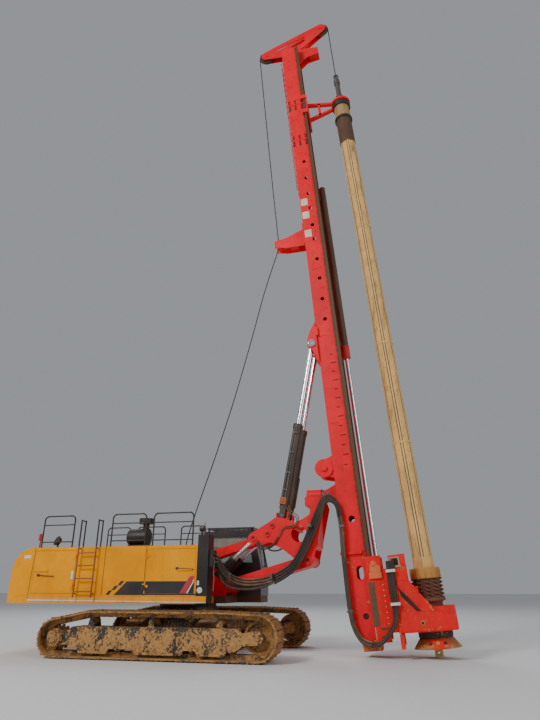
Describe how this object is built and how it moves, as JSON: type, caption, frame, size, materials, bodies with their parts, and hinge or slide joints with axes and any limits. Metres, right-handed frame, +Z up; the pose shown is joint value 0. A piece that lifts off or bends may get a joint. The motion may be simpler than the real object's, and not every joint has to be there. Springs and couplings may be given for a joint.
{
  "type": "rotary piling rig on crawler tracks",
  "caption": "Crawler rotary piling rig: slewing hooded body and cab, luffing arms, raked mast with crowd cylinder, rotary drive and kelly bar.",
  "frame": {"origin": "on the ground, under the middle of the machine's length and width", "axes": "+X forward towards the kelly bar, +Y to the machine's left, +Z up"},
  "size_m": [12.1888, 4.7, 24.0095],
  "materials": {
    "dark_steel": "satin",
    "track_steel": "matte",
    "deck_paint": "satin",
    "hood_paint": "gloss",
    "counterweight_iron": "gloss",
    "engine_iron": "matte",
    "black_plastic": "matte",
    "cab_paint": "satin",
    "window_glass": "clear",
    "seat_fabric": "woven",
    "mast_paint": "satin",
    "barrel_paint": "worn",
    "rod_chrome": "polished",
    "kelly_steel": "muddy",
    "hose_rubber": "matte"
  },
  "bodies": {
    "undercarriage": {"car_body": "dark_steel", "track_frames": "dark_steel", "track_right": "track_steel", "track_left": "track_steel", "sprockets": "track_steel", "idlers": "track_steel", "rollers": "track_steel", "slew_ring": "dark_steel"},
    "upperstructure": {"platform": "deck_paint", "arm_brackets": "deck_paint", "engine_hood": "hood_paint", "counterweight": "counterweight_iron", "engine_block": "engine_iron", "handrails": "dark_steel", "ladder": "hood_paint", "air_cleaner": "black_plastic", "front_box": "dark_steel", "cab_shell": "cab_paint", "cab_glass": "window_glass", "operator_seat": "seat_fabric", "hose_boom": "hose_rubber"},
    "rear_right_door": {"hood_door_right_rear": "hood_paint"},
    "front_right_door": {"hood_door_right_front": "hood_paint"},
    "left_door": {"hood_door_left": "hood_paint"},
    "cab_side_door": {"cab_door": "cab_paint", "cab_door_glass": "window_glass"},
    "main_winch": {"winch_drum": "dark_steel"},
    "arm": {"lower_arm": "mast_paint", "hose_arm": "hose_rubber"},
    "link": {"upper_link": "mast_paint"},
    "luff_barrel_pair": {"luff_barrels": "barrel_paint"},
    "luff_rod_pair": {"luff_rods": "rod_chrome"},
    "triangle": {"triangle_frame": "mast_paint", "hose_triangle": "hose_rubber"},
    "right_yoke": {"yoke_right": "dark_steel"},
    "left_yoke": {"yoke_left": "dark_steel"},
    "right_barrel": {"mast_barrel_right": "barrel_paint"},
    "left_barrel": {"mast_barrel_left": "barrel_paint"},
    "right_rod": {"mast_rod_right": "rod_chrome"},
    "left_rod": {"mast_rod_left": "rod_chrome"},
    "mast_cardan": {"cardan": "dark_steel"},
    "mast": {"mast_lower": "mast_paint", "mast_upper": "mast_paint", "mast_brackets": "mast_paint", "mast_head": "mast_paint", "rope_bracket": "mast_paint", "crowd_barrel": "barrel_paint", "hose_mast": "hose_rubber"},
    "aux_winch": {"aux_winch_drum": "mast_paint"},
    "rear_sheave": {"sheave_rear": "dark_steel"},
    "front_sheave": {"sheave_front": "dark_steel"},
    "drive": {"drive_sled": "mast_paint", "crowd_rod": "rod_chrome", "drive_gearbox": "mast_paint", "lower_housing": "mast_paint"},
    "drive_rotor": {"drive_sleeve": "kelly_steel"},
    "guide": {"kelly_guide": "mast_paint", "kelly_swivel": "kelly_steel"},
    "kelly": {"kelly_bar": "kelly_steel"}
  },
  "joints": [
    {"name": "slew", "type": "hinge", "parent": "undercarriage", "child": "upperstructure", "pos_m": [-1.25442, 0, 1.24], "axis": [0, 0, 1], "continuous": true},
    {"name": "rear_right_door_hinge", "type": "hinge", "parent": "upperstructure", "child": "rear_right_door", "pos_m": [-4.09743, -1.5155, 2], "axis": [0, 0, 1], "range_deg": [0, 95]},
    {"name": "front_right_door_hinge", "type": "hinge", "parent": "upperstructure", "child": "front_right_door", "pos_m": [-1.93142, -1.5155, 2], "axis": [0, 0, -1], "range_deg": [0, 95]},
    {"name": "left_door_hinge", "type": "hinge", "parent": "upperstructure", "child": "left_door", "pos_m": [-3.55743, 1.5155, 2], "axis": [0, 0, -1], "range_deg": [0, 95]},
    {"name": "cab_door_hinge", "type": "hinge", "parent": "upperstructure", "child": "cab_side_door", "pos_m": [-0.48142, 1.6055, 2.3], "axis": [0, 0, 1], "range_deg": [0, 120]},
    {"name": "main_winch_turn", "type": "hinge", "parent": "upperstructure", "child": "main_winch", "pos_m": [-2.05443, 0, 2.12], "axis": [0, 1, 0], "continuous": true},
    {"name": "luff", "type": "hinge", "parent": "upperstructure", "child": "arm", "pos_m": [-0.15443, 0, 1.62], "axis": [0, -1, 0], "range_deg": [-0.8, 28]},
    {"name": "link_hinge", "type": "hinge", "parent": "upperstructure", "child": "link", "pos_m": [-1.27442, 0, 2.29], "axis": [0, -1, 0], "range_deg": [-0.82, 28.56]},
    {"name": "luff_barrel_hinge", "type": "hinge", "parent": "upperstructure", "child": "luff_barrel_pair", "pos_m": [-0.70442, 0, 1.62], "axis": [0, -1, 0], "range_deg": [-0.86, 30.24]},
    {"name": "luff_rod_slide", "type": "slide", "parent": "luff_barrel_pair", "child": "luff_rod_pair", "axis": [0.7582, 0, 0.652], "range_m": [-0.01624, 0.56518]},
    {"name": "triangle_hinge", "type": "hinge", "parent": "arm", "child": "triangle", "pos_m": [2.33557, 0, 2.32], "axis": [0, -1, 0], "range_deg": [-28.56, 0.82]},
    {"name": "mast_side_tilt", "type": "hinge", "parent": "triangle", "child": "mast_cardan", "pos_m": [2.89558, 0, 4.1], "axis": [1, 0, 0], "range_deg": [-4, 4]},
    {"name": "mast_rake", "type": "hinge", "parent": "mast_cardan", "child": "mast", "pos_m": [2.89558, 0, 4.1], "axis": [0, 1, 0], "range_deg": [-10.5, 9.5]},
    {"name": "right_yoke_hinge", "type": "hinge", "parent": "triangle", "child": "right_yoke", "pos_m": [1.60557, -0.38, 3.52], "axis": [1, 0, 0], "range_deg": [-3.63, 3.63]},
    {"name": "right_barrel_hinge", "type": "hinge", "parent": "right_yoke", "child": "right_barrel", "pos_m": [1.60557, -0.38, 3.52], "axis": [0, 1, 0], "range_deg": [-9.1, 8.23]},
    {"name": "right_rod_slide", "type": "slide", "parent": "right_barrel", "child": "right_rod", "axis": [0.1893, 0, 0.9819], "range_m": [-0.21678, 0.19615]},
    {"name": "left_yoke_hinge", "type": "hinge", "parent": "triangle", "child": "left_yoke", "pos_m": [1.60557, 0.38, 3.52], "axis": [1, 0, 0], "range_deg": [-3.63, 3.63]},
    {"name": "left_barrel_hinge", "type": "hinge", "parent": "left_yoke", "child": "left_barrel", "pos_m": [1.60557, 0.38, 3.52], "axis": [0, 1, 0], "range_deg": [-9.1, 8.23]},
    {"name": "left_rod_slide", "type": "slide", "parent": "left_barrel", "child": "left_rod", "axis": [0.1893, 0, 0.9819], "range_m": [-0.21678, 0.19615]},
    {"name": "aux_winch_turn", "type": "hinge", "parent": "mast", "child": "aux_winch", "pos_m": [2.83908, 0, 4.81778], "axis": [0, 1, 0], "continuous": true},
    {"name": "rear_sheave_turn", "type": "hinge", "parent": "mast", "child": "rear_sheave", "pos_m": [1.03119, 0, 22.69103], "axis": [0, 1, 0], "continuous": true},
    {"name": "front_sheave_turn", "type": "hinge", "parent": "mast", "child": "front_sheave", "pos_m": [3.36103, 0, 23.67687], "axis": [0, 1, 0], "continuous": true},
    {"name": "crowd", "type": "slide", "parent": "mast", "child": "drive", "axis": [-0.0785, 0, 0.9969], "range_m": [0, 5.4]},
    {"name": "hoist", "type": "slide", "parent": "mast", "child": "guide", "axis": [-0.0785, 0, 0.9969], "range_m": [0, 1.9]},
    {"name": "kelly_turn", "type": "hinge", "parent": "guide", "child": "kelly", "pos_m": [5.18849, 0, 4.28046], "axis": [-0.0785, 0, 0.9969], "continuous": true},
    {"name": "rotor_turn", "type": "hinge", "parent": "drive", "child": "drive_rotor", "pos_m": [5.18849, 0, 4.28046], "axis": [-0.0785, 0, 0.9969], "continuous": true}
  ],
  "couplings": [
    {"joint": "link_hinge", "follows": "luff", "ratio": 1},
    {"joint": "luff_barrel_hinge", "follows": "luff", "ratio": 1.0587},
    {"joint": "luff_rod_slide", "follows": "luff", "m_per_rad": 1.1336},
    {"joint": "triangle_hinge", "follows": "luff", "ratio": -1},
    {"joint": "rotor_turn", "follows": "kelly_turn", "ratio": 1},
    {"joint": "right_yoke_hinge", "follows": "mast_side_tilt", "ratio": 0.88939},
    {"joint": "right_barrel_hinge", "follows": "mast_rake", "ratio": 0.84981},
    {"joint": "right_rod_slide", "follows": "mast_rake", "m_per_rad": 1.1592},
    {"joint": "left_yoke_hinge", "follows": "mast_side_tilt", "ratio": 0.88939},
    {"joint": "left_barrel_hinge", "follows": "mast_rake", "ratio": 0.84981},
    {"joint": "left_rod_slide", "follows": "mast_rake", "m_per_rad": 1.1592}
  ]
}
